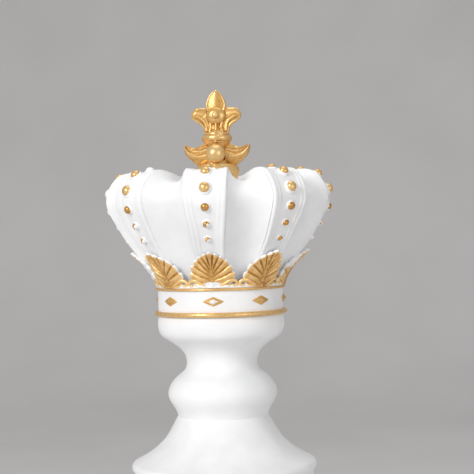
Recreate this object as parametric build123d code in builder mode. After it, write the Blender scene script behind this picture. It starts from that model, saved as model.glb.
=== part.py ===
from build123d import *
import math
import os

# Giant garden chess king with a closed crown. Millimetres, +Z up, front towards -Y.
# The origin is the centre of the foot, on the ground.

os.makedirs("parts", exist_ok=True)

# Driving dimensions: the hollow castings
total_height = 640.0
wall = 4.0
deck = 4.0
plinth_radius = 122.0
plinth_top = 80.0
drum_radius = 88.5
collar_height = 261.0
lip_radius = 92.0
groove_radius = 45.0
bulb_radius = 54.3
neck_radius = 35.2
cup_radius = 62.9
stem_top = 415.7
seat_hole_radius = 60.0
flange_radius = 97.0
flange_height = 12.0

# The base plate, its foot and fasteners
foot_height = 4.0
foot_radius = 100.0
foot_width = 14.0
plate_thickness = 6.0
plate_radius = 114.0
plate_top = foot_height + plate_thickness
screw_count = 8
screw_circle = 107.0
screw_shank = 2.5
screw_head = 4.8
screw_head_height = 3.0
screw_length = 14.0
ballast_radius = 84.0
ballast_height = 26.0

# The tie rod that clamps the castings together
rod_radius = 6.0
rod_top = 433.0
rod_head_radius = 13.0
rod_head_height = 3.5
washer_radius = 15.0
washer_thickness = 2.5
nut_width = 19.0
nut_height = 9.0

# The thread between stem and crown
crown_pitch = 8.0
spigot_radius = 38.0
spigot_wall = 5.0
spigot_height = 23.0
spigot_floor = 5.0
crown_thread_depth = 2.6
crown_thread_width = 3.4
crown_thread_turns = 2
crown_thread_start = stem_top + 4.8
thread_gap = 0.35
gasket_thickness = 1.5
gasket_inner = 47.0
gasket_outer = 59.0

# The crown
crown_bottom = stem_top + gasket_thickness
band_radius = 62.3
band_top = 440.0
deck_top = 444.0
lower_rim_radius = 66.5
lower_rim_height = 5.0
lower_rim_gap = 0.3
upper_rim_radius = 65.0
upper_rim_height = 2.6
socket_wall = 5.5
band_floor = 5.0
strap_count = 8
bowl_wall = 9.0
strap_foot_half = 12.0
strap_half = 20.5
strap_end_level = 543.0
flute_radius = 31.0
flute_depth = 5.5
leaf_foot = 447.0
leaf_top = 478.0
leaf_half_width = 22.0
leaf_lobes = 11
lozenge_width = 16.0
lozenge_height = 9.4
lozenge_relief = 3.0
lozenge_root = 60.0
lozenge_level = 431.3
stud_fractions = (0.278, 0.357, 0.443, 0.530, 0.630, 0.712, 0.796, 0.876)
stud_diameters = (6.0, 7.0, 8.2, 10.4, 9.4, 9.0, 8.5, 8.0)

# The finial and its screw
finial_base = 548.0
finial_pitch = 4.0
finial_stud_radius = 7.0
finial_thread_depth = 1.2
finial_thread_width = 1.6
finial_thread_turns = 3
finial_thread_start = 528.0
finial_stud_bottom = 524.0
finial_washer_thickness = 1.5
finial_washer_radius = 17.0
finial_foot_radius = 18.0
finial_foot_bulge = 22.0
finial_waist_radius = 20.5
boss_radius = 17.0
boss_flange_radius = 21.5
boss_bottom = 516.0
boss_flange_bottom = 538.2
boss_entry = 4.0
orb_radius = 9.6
orb_level = 575.5
orb_reach = 15.0
horn_depth = 22.0
leaf_depth = 13.0
collar_radius = 15.0
collar_bottom = 587.0
collar_top = 596.0
horn_bottom = 566.0
bead_level = 614.0
bead_radius = 3.5
bead_reach = 11.5


def save(piece, label):
    """Label a finished piece and write it to its own file."""
    piece.part.label = label
    export_step(piece.part, f"parts/{label}.step")


def lathe_ring(inner, outer, bottom, top, label):
    """A plain turned ring with a small chamfer on its outer edges."""
    with BuildPart() as ring:
        with BuildSketch(Plane.XZ):
            with BuildLine():
                Polyline((inner, bottom), (outer, bottom), (outer, top), (inner, top), close=True)
            make_face()
        revolve(axis=Axis.Z)
        outer_edges = ring.edges().filter_by(GeomType.CIRCLE).sort_by(SortBy.RADIUS)[-2:]
        chamfer(outer_edges, length=(top - bottom) * 0.15)
    save(ring, label)


def thread_ridge(radius, depth, width, pitch, turns, start, lead_angle=0):
    """A helical ridge with sloping flanks on a core, begun lead_angle degrees along its own helix."""
    root = 0.4
    first = start + pitch * lead_angle / 360
    with BuildPart() as ridge:
        with BuildLine() as path:
            Helix(pitch=pitch, height=turns * pitch, radius=radius + depth / 2, center=(0, 0, first))
        with BuildSketch(Plane(origin=path.line @ 0, x_dir=(1, 0, 0), z_dir=path.line % 0)):
            Trapezoid(width, depth + root, 65, rotation=-90)
        sweep(path=path.line, is_frenet=True)
    return ridge.part.rotate(Axis.Z, lead_angle)


def inner_wall(points, steps=8, inset=wall):
    """Points a wall thickness inside a smooth outline, listed from its end back to its start."""
    with BuildLine() as outer:
        Spline(*points)
    moved = []
    for step in range(steps, -1, -1):
        point = outer.line @ (step / steps)
        tangent = outer.line % (step / steps)
        moved.append((point.X - tangent.Y * inset, point.Y + tangent.X * inset))
    return moved


def clamp_nut(bottom, label):
    """A hexagonal nut on the tie rod."""
    with BuildPart() as nut:
        with BuildSketch(Plane.XY.offset(bottom)):
            RegularPolygon(nut_width / 2, 6, major_radius=False)
            Circle(rod_radius, mode=Mode.SUBTRACT)
        extrude(amount=nut_height)
    save(nut, label)


def clamp_washer(bottom, label):
    """A flat washer on the tie rod."""
    with BuildPart() as washer:
        with BuildSketch(Plane.XY.offset(bottom)):
            Circle(washer_radius)
            Circle(rod_radius, mode=Mode.SUBTRACT)
        extrude(amount=washer_thickness)
    save(washer, label)


# ---- Base: foot, plate, ballast ----
lathe_ring(foot_radius - foot_width, foot_radius, 0, foot_height, "foot_ring")

with BuildPart() as base_plate:
    with BuildSketch(Plane.XY.offset(foot_height)):
        Circle(plate_radius)
    extrude(amount=plate_thickness)
    with Locations(Plane(origin=(0, 0, foot_height), z_dir=(0, 0, -1))):
        with PolarLocations(screw_circle, screw_count):
            CounterBoreHole(screw_shank, screw_head + 0.2, screw_head_height)
        CounterBoreHole(rod_radius, rod_head_radius, rod_head_height)
save(base_plate, "base_plate")

with BuildPart() as base_plate_screws:
    with PolarLocations(screw_circle, screw_count):
        with Locations((0, 0, foot_height)):
            Cylinder(screw_head, screw_head_height, align=(Align.CENTER, Align.CENTER, Align.MIN))
        with Locations((0, 0, foot_height + screw_head_height)):
            Cylinder(screw_shank, screw_length, align=(Align.CENTER, Align.CENTER, Align.MIN))
save(base_plate_screws, "base_plate_screws")

with BuildPart() as ballast_disc:
    with BuildSketch(Plane.XY.offset(plate_top)):
        Circle(ballast_radius)
        Circle(rod_radius, mode=Mode.SUBTRACT)
    extrude(amount=ballast_height)
    chamfer(ballast_disc.edges().filter_by(GeomType.CIRCLE).sort_by(SortBy.RADIUS)[-2:], length=2)
save(ballast_disc, "ballast_disc")

# ---- Base: the three white castings ----
flange_top = plate_top + flange_height
plinth_cove = ((109, 46), (103.5, 58), (102, plinth_top))
plinth_inside = inner_wall(plinth_cove)

with BuildPart() as plinth_shell:
    with BuildSketch(Plane.XZ):
        with BuildLine():
            Polyline((plate_radius, foot_height), (118, foot_height), (plinth_radius, 8), (plinth_radius, 24),
                     (118, 28), (113, 28))
            ThreePointArc((113, 28), (116.5, 36), (113, 44))
            Line((113, 44), plinth_cove[0])
            Spline(*plinth_cove)
            Polyline(plinth_cove[-1], (seat_hole_radius, plinth_top), (seat_hole_radius, plinth_top - deck),
                     (98, plinth_top - deck), plinth_inside[1])
            Spline(*plinth_inside[1:])
            Polyline(plinth_inside[-1], (108, 44), (108, flange_top), (flange_radius, flange_top),
                     (flange_radius, plate_top), (plate_radius, plate_top), (plate_radius, foot_height))
        make_face()
    revolve(axis=Axis.Z)
    with BuildSketch(Plane.XY.offset(plate_top)):
        with PolarLocations(screw_circle, screw_count):
            Circle(screw_shank)
    extrude(amount=screw_length - (plate_thickness - screw_head_height), mode=Mode.SUBTRACT)
save(plinth_shell, "plinth_shell")

body_flare = ((98, 86), (78, 112), (64, 150), (57, 203))
body_scotia = ((57, 215), (63, 228), (84, 239))
flare_inside = inner_wall(body_flare)
scotia_inside = inner_wall(body_scotia)
drum_inside = drum_radius - wall

with BuildPart() as body_shell:
    with BuildSketch(Plane.XZ):
        with BuildLine():
            Polyline((seat_hole_radius, plinth_top), (98, plinth_top), body_flare[0])
            Spline(*body_flare)
            ThreePointArc(body_flare[-1], (63.5, 209), body_scotia[0])
            Spline(*body_scotia)
            Polyline(body_scotia[-1], (drum_radius, 241), (drum_radius, collar_height),
                     (seat_hole_radius, collar_height), (seat_hole_radius, collar_height - deck),
                     (drum_inside, collar_height - deck), (drum_inside, 244), scotia_inside[0])
            Spline(*scotia_inside)
            Line(scotia_inside[-1], flare_inside[0])
            Spline(*flare_inside[:-1])
            Polyline(flare_inside[-2], (92, plinth_top + deck), (seat_hole_radius, plinth_top + deck),
                     (seat_hole_radius, plinth_top))
        make_face()
    revolve(axis=Axis.Z)
save(body_shell, "body_shell")

stem_skirt = ((89.5, 270.5), (77, 277.3), (65.5, 286), (56.4, 296), (50, 307), (groove_radius, 315.6))
stem_vase = ((groove_radius, 315.6), (48.6, 324.5), (53.2, 332.5), (bulb_radius, 340), (51.3, 347.5),
             (44.2, 355.5), (37, 362), (neck_radius, 368.5), (37.2, 377), (43.4, 384.5), (53.4, 391.3),
             (60.4, 397), (cup_radius, 404), (61.8, stem_top))
skirt_inside = inner_wall(stem_skirt)
vase_inside = inner_wall(stem_vase, 24)

with BuildPart() as stem_shell:
    with BuildSketch(Plane.XZ):
        with BuildLine():
            Line((seat_hole_radius, collar_height), (89, collar_height))
            ThreePointArc((89, collar_height), (lip_radius, 266.5), stem_skirt[0])
            Spline(*stem_skirt)
            Spline(*stem_vase)
            Polyline(stem_vase[-1], (rod_radius, stem_top), (rod_radius, stem_top - deck),
                     (58, stem_top - deck), vase_inside[2])
            Spline(*vase_inside[2:])
            Line(vase_inside[-1], skirt_inside[0])
            Spline(*skirt_inside[:-1])
            Polyline(skirt_inside[-2], (80, collar_height + deck), (seat_hole_radius, collar_height + deck),
                     (seat_hole_radius, collar_height))
        make_face()
    revolve(axis=Axis.Z)
save(stem_shell, "stem_shell")

# ---- Base: spigot, rod, nuts and washers ----
spigot_ridge = thread_ridge(spigot_radius, crown_thread_depth, crown_thread_width, crown_pitch,
                            crown_thread_turns, crown_thread_start)
with BuildPart() as threaded_spigot:
    with BuildSketch(Plane.XY.offset(stem_top)):
        Circle(spigot_radius)
    extrude(amount=spigot_height)
    add(spigot_ridge)
    with BuildSketch(Plane.XY.offset(stem_top + spigot_floor)):
        Circle(spigot_radius - spigot_wall)
    extrude(amount=spigot_height, mode=Mode.SUBTRACT)
    with BuildSketch(Plane.XY.offset(stem_top)):
        Circle(rod_radius)
    extrude(amount=spigot_height, mode=Mode.SUBTRACT)
save(threaded_spigot, "threaded_spigot")

with BuildPart() as tie_rod:
    with BuildSketch(Plane.XY.offset(foot_height)):
        Circle(rod_head_radius)
    extrude(amount=rod_head_height)
    with BuildSketch(Plane.XY.offset(foot_height)):
        Circle(rod_radius)
    extrude(amount=rod_top - foot_height)
    chamfer(tie_rod.faces().sort_by(Axis.Z)[-1].edges(), length=1)
save(tie_rod, "tie_rod")

clamp_washer(plate_top + ballast_height, "ballast_washer")
clamp_nut(plate_top + ballast_height + washer_thickness, "ballast_nut")
clamp_washer(stem_top + spigot_floor, "upper_washer")
clamp_nut(stem_top + spigot_floor + washer_thickness, "upper_nut")

# ---- Crown: gasket, band, deck and rims ----
lathe_ring(gasket_inner, gasket_outer, stem_top, crown_bottom, "crown_gasket")

socket_radius = spigot_radius + thread_gap
socket_groove = thread_ridge(socket_radius, crown_thread_depth + thread_gap,
                             crown_thread_width + 2 * thread_gap, crown_pitch,
                             crown_thread_turns + 0.95, crown_thread_start - crown_pitch, lead_angle=30)
with BuildPart() as crown_band:
    with BuildSketch(Plane.XZ):
        with BuildLine():
            Polyline((socket_radius, crown_bottom), (band_radius, crown_bottom), (band_radius, deck_top),
                     (band_radius - wall / 2, deck_top), (band_radius - wall / 2, band_top),
                     (band_radius - wall, band_top), (band_radius - wall, crown_bottom + band_floor),
                     (socket_radius + socket_wall, crown_bottom + band_floor),
                     (socket_radius + socket_wall, band_top), (socket_radius, band_top), close=True)
        make_face()
    revolve(axis=Axis.Z)
    add(socket_groove, mode=Mode.SUBTRACT)
save(crown_band, "crown_band")

with BuildPart() as crown_deck:
    with BuildSketch(Plane.XY.offset(band_top)):
        Circle(band_radius - wall / 2)
    extrude(amount=deck)
save(crown_deck, "crown_deck")

with BuildPart() as lower_rim_trim:
    with BuildSketch(Plane.XZ):
        with BuildLine():
            rim_bottom = stem_top + lower_rim_gap
            rim_top = rim_bottom + lower_rim_height
            Line((band_radius, rim_top), (band_radius, crown_bottom))
            Line((band_radius, crown_bottom), (gasket_outer + lower_rim_gap, crown_bottom))
            Line((gasket_outer + lower_rim_gap, crown_bottom), (gasket_outer + lower_rim_gap, rim_bottom))
            Line((gasket_outer + lower_rim_gap, rim_bottom), (64.5, rim_bottom))
            ThreePointArc((64.5, rim_bottom), (lower_rim_radius, (rim_bottom + rim_top) / 2), (64.5, rim_top))
            Line((64.5, rim_top), (band_radius, rim_top))
        make_face()
    revolve(axis=Axis.Z)
save(lower_rim_trim, "lower_rim_trim")

with BuildPart() as upper_rim_trim:
    with BuildSketch(Plane.XZ):
        with BuildLine():
            Line((63.6, deck_top), (band_radius, deck_top))
            Line((band_radius, deck_top), (band_radius, deck_top - upper_rim_height))
            Line((band_radius, deck_top - upper_rim_height), (63.6, deck_top - upper_rim_height))
            ThreePointArc((63.6, deck_top - upper_rim_height),
                          (upper_rim_radius, deck_top - upper_rim_height / 2), (63.6, deck_top))
        make_face()
    revolve(axis=Axis.Z)
save(upper_rim_trim, "upper_rim_trim")

with BuildPart() as band_lozenges:
    for index in range(strap_count):
        turn = 360 / strap_count * index
        outward = Plane.XZ.rotated((0, 0, turn))
        near = Plane(origin=outward.z_dir * (band_radius + lozenge_relief), x_dir=outward.x_dir,
                     z_dir=outward.z_dir)
        far = Plane(origin=outward.z_dir * lozenge_root, x_dir=outward.x_dir, z_dir=outward.z_dir)
        spread = (band_radius + lozenge_relief - lozenge_root) / lozenge_relief
        with BuildSketch(near):
            with Locations((0, lozenge_level)):
                Polygon((-0.4, 0), (0, -0.2), (0.4, 0), (0, 0.2))
        with BuildSketch(far):
            with Locations((0, lozenge_level)):
                Polygon((-spread * lozenge_width / 2, 0), (0, -spread * lozenge_height / 2),
                        (spread * lozenge_width / 2, 0), (0, spread * lozenge_height / 2))
        loft()
    with BuildSketch(Plane.XY.offset(lozenge_level - 2 * lozenge_height)):
        Circle(band_radius)
    extrude(amount=4 * lozenge_height, mode=Mode.SUBTRACT)
save(band_lozenges, "band_lozenges")

# ---- Crown: bowl, straps, leaves and studs ----
strap_end = boss_flange_radius + 1.0
strap_points = ((58.5, deck_top), (70, 463), (83.4, 479), (97, 498.5), (111, 528), (102.5, 551.5),
                (84, 558.5), (45, 548), (strap_end, strap_end_level))
bowl_points = ((57, deck_top), (71.5, 469), (92, 500), (105.8, 528), (98, 545.5), (82, 552),
               (45, 542.5), (boss_radius, boss_flange_bottom))
flute_start = 0.06
flute_end = 0.72
flute_steps = 7

bowl_inside = inner_wall(bowl_points, 12, bowl_wall)

with BuildLine() as bowl_line:
    Spline(*bowl_points)

# The cutter's centre line runs outside the bowl, and rises clear of it towards the top.
flute_route = []
for step in range(flute_steps):
    share = step / (flute_steps - 1)
    fraction = flute_start + (flute_end - flute_start) * share
    point = bowl_line.line @ fraction
    tangent = bowl_line.line % fraction
    reach = flute_radius - flute_depth * (1 - share**3)
    flute_route.append((point.X + tangent.Y * reach, point.Y - tangent.X * reach))

with BuildPart() as flute:
    with BuildLine(Plane.XZ) as route:
        Spline(*flute_route)
    with BuildSketch(Plane(origin=route.line @ 0, z_dir=route.line % 0)):
        Circle(flute_radius)
    sweep()

with BuildPart() as crown_bowl:
    with BuildSketch(Plane.XZ):
        with BuildLine():
            Spline(*bowl_points)
            Line(bowl_points[-1], bowl_inside[0])
            Spline(*bowl_inside)
            Polyline(bowl_inside[-1], (bowl_points[0][0] - bowl_wall, deck_top), bowl_points[0])
        make_face()
    revolve(axis=Axis.Z)
    with BuildSketch(Plane.XY.offset(boss_bottom)):
        Circle(boss_radius)
    extrude(amount=total_height - boss_bottom, mode=Mode.SUBTRACT)
    for index in range(strap_count):
        add(flute.part, rotation=(0, 0, 360 / strap_count * (index + 0.5)), mode=Mode.SUBTRACT)
save(crown_bowl, "crown_bowl")

# Everything inside the outer face of the straps, used to seat the leaves and the studs.
with BuildLine() as strap_line:
    Spline(*strap_points)

with BuildPart() as strap_form:
    with BuildSketch(Plane.XZ):
        with BuildLine():
            Spline(*strap_points)
            Polyline(strap_points[-1], (0, strap_end_level), (0, band_top), (gasket_inner, band_top),
                     strap_points[0])
        make_face()
    revolve(axis=Axis.Z)

with BuildPart() as strap:
    with BuildSketch(Plane.XZ):
        with BuildLine():
            Spline(*strap_points)
            Line(strap_points[0], bowl_points[0])
            Spline(*bowl_points)
            Polyline(bowl_points[-1], (boss_radius, strap_end_level - 2), strap_points[-1])
        make_face()
    revolve(axis=Axis.Z)
    with BuildSketch(Plane.XZ):
        with BuildLine():
            Spline((strap_foot_half, deck_top), (13.4, 478), (17.5, 506), (20.2, 530),
                   (strap_half, horn_bottom))
            Line((strap_half, horn_bottom), (0, horn_bottom))
            Line((0, deck_top), (strap_foot_half, deck_top))
            mirror(about=Plane.YZ)
        make_face()
    extrude(amount=plinth_radius, mode=Mode.INTERSECT)
    with BuildSketch(Plane.XY.offset(deck_top)):
        with BuildLine():
            Polyline((0, -strap_end), (6.5, -strap_end), (11, -45), (16, -63), (20, -80), (22, -95),
                     (22, -115), (0, -115))
            mirror(about=Plane.YZ)
        make_face()
    extrude(amount=total_height - deck_top, mode=Mode.INTERSECT)

with BuildPart() as studs:
    for fraction, diameter in zip(stud_fractions, stud_diameters):
        point = strap_line.line @ fraction
        tangent = strap_line.line % fraction
        with Locations(Plane(origin=(0, -point.X, point.Y), x_dir=(1, 0, 0),
                             z_dir=(0, -tangent.Y, -tangent.X))):
            Cylinder(diameter / 2, 4)
            with Locations((0, 0, 0.6)):
                Sphere(diameter * 0.45)
    add(strap_form.part, mode=Mode.SUBTRACT)

with BuildPart() as leaf:
    with BuildSketch(Plane.XZ):
        with BuildLine():
            Polyline((56, deck_top), (62.5, deck_top), (70.8, 461.5), (75.2, 468), (86, leaf_top + 1),
                     (78, leaf_top + 1), close=True)
        make_face()
    revolve(axis=Axis.Z)
    with BuildSketch(Plane.XZ):
        with BuildLine():
            outline = []
            for step in range(2 * leaf_lobes + 1):
                swing = math.radians(-14 + 208 * step / (2 * leaf_lobes))
                reach = 1.0 if step % 2 else 0.86
                outline.append((leaf_half_width * reach * math.cos(swing),
                                leaf_foot + (leaf_top - leaf_foot) * reach * math.sin(swing)))
            outline.append((-9, deck_top))
            outline.append((9, deck_top))
            Polyline(*outline, close=True)
        make_face()
    extrude(amount=plinth_radius, mode=Mode.INTERSECT)
    add(strap_form.part, mode=Mode.SUBTRACT)

for index in range(strap_count):
    spin = (0, 0, 360 / strap_count * index)
    with BuildPart() as crown_strap:
        add(strap.part, rotation=spin)
    save(crown_strap, f"crown_strap_{index + 1}")
    with BuildPart() as strap_studs:
        add(studs.part, rotation=spin)
    save(strap_studs, f"strap_studs_{index + 1}")
    with BuildPart() as crown_leaf:
        add(leaf.part, rotation=spin)
    save(crown_leaf, f"crown_leaf_{index + 1}")

# ---- Crown: the threaded boss under the finial ----
boss_top = finial_base - finial_washer_thickness
boss_bore = finial_stud_radius + thread_gap
entry_radius = boss_bore + finial_thread_depth + thread_gap
# The groove is swept from its upper end, upside down, and then turned over.
boss_groove = thread_ridge(boss_bore, finial_thread_depth + thread_gap,
                           finial_thread_width + 2 * thread_gap, finial_pitch, finial_thread_turns + 3,
                           -(finial_thread_start + 5 * finial_pitch), lead_angle=30).rotate(Axis.X, 180)
with BuildPart() as crown_boss:
    with BuildSketch(Plane.XZ):
        with BuildLine():
            Polyline((boss_bore, boss_bottom), (boss_radius, boss_bottom), (boss_radius, boss_flange_bottom),
                     (boss_flange_radius, boss_flange_bottom), (boss_flange_radius, boss_top),
                     (entry_radius, boss_top), (entry_radius, boss_top - boss_entry),
                     (boss_bore, boss_top - boss_entry), close=True)
        make_face()
    revolve(axis=Axis.Z)
    add(boss_groove, mode=Mode.SUBTRACT)
save(crown_boss, "crown_boss")

# ---- Finial ----
lathe_ring(finial_stud_radius + 1.5, finial_washer_radius, boss_top, finial_base, "finial_washer")

finial_ridge = thread_ridge(finial_stud_radius, finial_thread_depth, finial_thread_width, finial_pitch,
                            finial_thread_turns, finial_thread_start)
with BuildPart() as finial_stud:
    with BuildSketch(Plane.XY.offset(finial_stud_bottom)):
        Circle(finial_stud_radius)
    extrude(amount=collar_bottom - finial_stud_bottom)
    add(finial_ridge)
save(finial_stud, "finial_stud")

with BuildPart() as finial_foot:
    with BuildSketch(Plane.XZ):
        with BuildLine():
            Line((finial_stud_radius, finial_base), (finial_foot_radius, finial_base))
            Spline((finial_foot_radius, finial_base), (20.4, 552), (finial_foot_bulge, 559),
                   (finial_waist_radius, horn_bottom))
            Polyline((finial_waist_radius, horn_bottom), (finial_stud_radius, horn_bottom),
                     (finial_stud_radius, finial_base))
        make_face()
    revolve(axis=Axis.Z)
save(finial_foot, "finial_foot")

with BuildPart() as finial_horns:
    with BuildSketch(Plane.XZ.offset(-horn_depth / 2)):
        with BuildLine():
            Line((0, horn_bottom), (22.5, horn_bottom))
            Spline((22.5, horn_bottom), (25.5, 568.5), (31.5, 575), (33, 580), (32, 586))
            Spline((32, 586), (28, 583.5), (22, 582), (15, collar_bottom))
            Line((15, collar_bottom), (0, collar_bottom))
            mirror(about=Plane.YZ)
        make_face()
    extrude(amount=horn_depth)
    with BuildSketch(Plane.XY.offset(horn_bottom)):
        Circle(finial_stud_radius)
    extrude(amount=collar_bottom - horn_bottom, mode=Mode.SUBTRACT)
save(finial_horns, "finial_horns")

with BuildPart() as finial_orbs:
    for side in (-1, 1):
        with Locations((0, side * orb_reach, orb_level)):
            Sphere(orb_radius)
    add(finial_horns.part, mode=Mode.SUBTRACT)
    with BuildSketch(Plane.XZ.offset(-horn_depth / 2)):
        with Locations((0, orb_level)):
            Rectangle(4 * orb_radius, 4 * orb_radius)
    extrude(amount=horn_depth, mode=Mode.SUBTRACT)
save(finial_orbs, "finial_orbs")

with BuildPart() as finial_collar:
    with BuildSketch(Plane.XZ):
        with BuildLine():
            Line((0, collar_top + 1), (11, collar_top + 1))
            Line((11, collar_top + 1), (12.5, collar_top))
            Line((12.5, collar_top), (14, collar_top))
            ThreePointArc((14, collar_top), (collar_radius + 0.5, 591.5), (13, collar_bottom))
            Polyline((13, collar_bottom), (0, collar_bottom), (0, collar_top + 1))
        make_face()
    revolve(axis=Axis.Z)
save(finial_collar, "finial_collar")

with BuildPart() as finial_bud:
    with BuildSketch(Plane.XZ):
        with BuildLine():
            Line((0, collar_top + 1), (9, collar_top + 1))
            Spline((9, collar_top + 1), (8, 606), (9.5, 616), (10.6, 624))
            Spline((10.6, 624), (9, 631), (4, 637.5), (0, total_height))
            Line((0, total_height), (0, collar_top + 1))
        make_face()
    revolve(axis=Axis.Z)
save(finial_bud, "finial_bud")

with BuildPart() as finial_fleur:
    with BuildSketch(Plane.XZ.offset(-leaf_depth / 2)):
        with BuildLine():
            Line((0, collar_top + 1), (14.5, collar_top + 1))
            Spline((14.5, collar_top + 1), (13.5, 600.5), (19, 606.5), (25.5, 615.5), (20, 622))
            Spline((20, 622), (17, 616.5), (12, 616))
            Line((12, 616), (0, 616))
            mirror(about=Plane.YZ)
        make_face()
    extrude(amount=leaf_depth)
    add(finial_bud.part, mode=Mode.SUBTRACT)
save(finial_fleur, "finial_fleur")

with BuildPart() as finial_beads:
    for side in (-1, 1):
        with Locations((0, side * bead_reach, bead_level)):
            Sphere(bead_radius)
    add(finial_bud.part, mode=Mode.SUBTRACT)
    add(finial_fleur.part, mode=Mode.SUBTRACT)
save(finial_beads, "finial_beads")
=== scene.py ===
import math

import bmesh
import bpy
import numpy as np
from mathutils import Euler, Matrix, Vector, noise


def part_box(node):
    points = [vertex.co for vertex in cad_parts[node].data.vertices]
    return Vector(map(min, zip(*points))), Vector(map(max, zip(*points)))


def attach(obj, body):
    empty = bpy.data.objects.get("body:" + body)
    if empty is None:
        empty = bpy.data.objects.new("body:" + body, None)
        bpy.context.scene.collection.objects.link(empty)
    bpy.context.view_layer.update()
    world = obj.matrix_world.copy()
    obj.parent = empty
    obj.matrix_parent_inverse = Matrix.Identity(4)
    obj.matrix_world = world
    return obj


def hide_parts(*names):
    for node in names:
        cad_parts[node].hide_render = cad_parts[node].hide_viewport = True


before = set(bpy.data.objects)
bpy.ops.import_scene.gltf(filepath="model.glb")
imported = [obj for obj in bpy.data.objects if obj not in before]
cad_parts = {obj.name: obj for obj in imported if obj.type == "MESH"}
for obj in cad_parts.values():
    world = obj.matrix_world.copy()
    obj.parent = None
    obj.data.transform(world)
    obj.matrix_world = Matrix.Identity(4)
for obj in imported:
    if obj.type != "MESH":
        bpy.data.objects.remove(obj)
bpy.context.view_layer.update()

# Lengths below are in millimetres, in the frame of the CAD model, and are scaled once, in add_piece.
MM = 0.001
STRAPS = 8
TURN = 2 * math.pi / STRAPS


# ---------------------------------------------------------------- heights read from the frame
def bottom_of(node):
    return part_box(node)[0][2] / MM


def top_of(node):
    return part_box(node)[1][2] / MM


def middle_of(node):
    low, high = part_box(node)
    return (low[2] + high[2]) / 2 / MM


deck_top = top_of("crown_deck")
rim_low = bottom_of("lower_rim_trim")
rim_top = top_of("lower_rim_trim")
finial_base = bottom_of("finial_foot")
band_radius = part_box("crown_band")[1][0] / MM


# ---------------------------------------------------------------- camera
# Metres and degrees: a level camera in front, a little to the right and rolled to follow the piece's lean.
CAMERA_AZIMUTH = 5.8
CAMERA_DISTANCE = 1.30
CAMERA_LEVEL = 0.4925
CAMERA_ASIDE = 0.0178
CAMERA_ROLL = 1.35
SENSOR_WIDTH = 36
LENS = 98.7


def make_camera():
    azimuth = math.radians(CAMERA_AZIMUTH)
    data = bpy.data.cameras.new("camera")
    data.sensor_width = SENSOR_WIDTH
    data.lens = LENS
    camera = bpy.data.objects.new("camera", data)
    right = Vector((math.cos(azimuth), math.sin(azimuth), 0))
    back = Vector((math.sin(azimuth), -math.cos(azimuth), 0))
    camera.location = back * CAMERA_DISTANCE + right * CAMERA_ASIDE + Vector((0, 0, CAMERA_LEVEL))
    camera.rotation_mode = "QUATERNION"
    look = Euler((math.pi / 2, 0, azimuth)).to_quaternion()
    camera.rotation_quaternion = look @ Euler((0, 0, -math.radians(CAMERA_ROLL))).to_quaternion()
    bpy.context.scene.collection.objects.link(camera)
    bpy.context.scene.camera = camera


make_camera()


# ---------------------------------------------------------------- materials
def new_material(name):
    """A material with its nodes, its links and its shader."""
    material = bpy.data.materials.new(name)
    material.use_nodes = True
    nodes = material.node_tree.nodes
    return material, nodes, material.node_tree.links, nodes["Principled BSDF"]


def noise_texture(nodes, links, scale, detail, distortion=0.0):
    """A noise texture in object space; scale is in features per metre."""
    place = nodes.new("ShaderNodeTexCoord")
    texture = nodes.new("ShaderNodeTexNoise")
    texture.inputs["Scale"].default_value = scale
    texture.inputs["Detail"].default_value = detail
    texture.inputs["Distortion"].default_value = distortion
    links.new(place.outputs["Object"], texture.inputs["Vector"])
    return texture.outputs["Fac"]


def ramp(nodes, links, source, stops):
    """A colour ramp over a value; stops are (position, colour)."""
    node = nodes.new("ShaderNodeValToRGB")
    while len(node.color_ramp.elements) < len(stops):
        node.color_ramp.elements.new(0.5)
    for element, (position, colour) in zip(node.color_ramp.elements, stops):
        element.position = position
        element.color = (*colour, 1)
    links.new(source, node.inputs["Fac"])
    return node.outputs["Color"]


def spread(nodes, links, source, low, high, start=0.3, end=0.7):
    """Maps a value from start..end to low..high."""
    node = nodes.new("ShaderNodeMapRange")
    node.inputs["From Min"].default_value = start
    node.inputs["From Max"].default_value = end
    node.inputs["To Min"].default_value = low
    node.inputs["To Max"].default_value = high
    links.new(source, node.inputs["Value"])
    return node.outputs["Result"]


def arithmetic(nodes, links, operation, first, second):
    node = nodes.new("ShaderNodeMath")
    node.operation = operation
    for socket, value in zip(node.inputs, (first, second)):
        if isinstance(value, (int, float)):
            socket.default_value = value
        else:
            links.new(value, socket)
    return node.outputs["Value"]


def mix_colour(nodes, links, factor, first, second):
    node = nodes.new("ShaderNodeMix")
    node.data_type = "RGBA"
    for name, value in (("Factor", factor), ("A", first), ("B", second)):
        if isinstance(value, tuple):
            node.inputs[name].default_value = (*value, 1)
        else:
            links.new(value, node.inputs[name])
    return node.outputs["Result"]


def bump(nodes, links, shader, height, distance, strength):
    node = nodes.new("ShaderNodeBump")
    node.inputs["Strength"].default_value = strength
    node.inputs["Distance"].default_value = distance
    links.new(height, node.inputs["Height"])
    links.new(node.outputs["Normal"], shader.inputs["Normal"])


def attribute(nodes, name):
    node = nodes.new("ShaderNodeAttribute")
    node.attribute_name = name
    return node.outputs["Fac"]


WHITE_LIGHT = (0.86, 0.86, 0.865)
WHITE_DARK = (0.80, 0.805, 0.815)
CLOUDS_PER_METRE = 28
ORANGE_PEEL_PER_METRE = 900


def white_paint():
    """Satin white paint on cast resin: faint clouding and a fine orange-peel skin."""
    material, nodes, links, shader = new_material("white_paint")
    clouds = noise_texture(nodes, links, CLOUDS_PER_METRE, 3)
    colour = ramp(nodes, links, clouds, ((0.35, WHITE_DARK), (0.6, WHITE_LIGHT)))
    links.new(colour, shader.inputs["Base Color"])
    grain = noise_texture(nodes, links, ORANGE_PEEL_PER_METRE, 3)
    links.new(spread(nodes, links, clouds, 0.46, 0.58), shader.inputs["Roughness"])
    shader.inputs["Specular IOR Level"].default_value = 0.4
    bump(nodes, links, shader, grain, 0.0004, 0.10)
    return material


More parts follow.
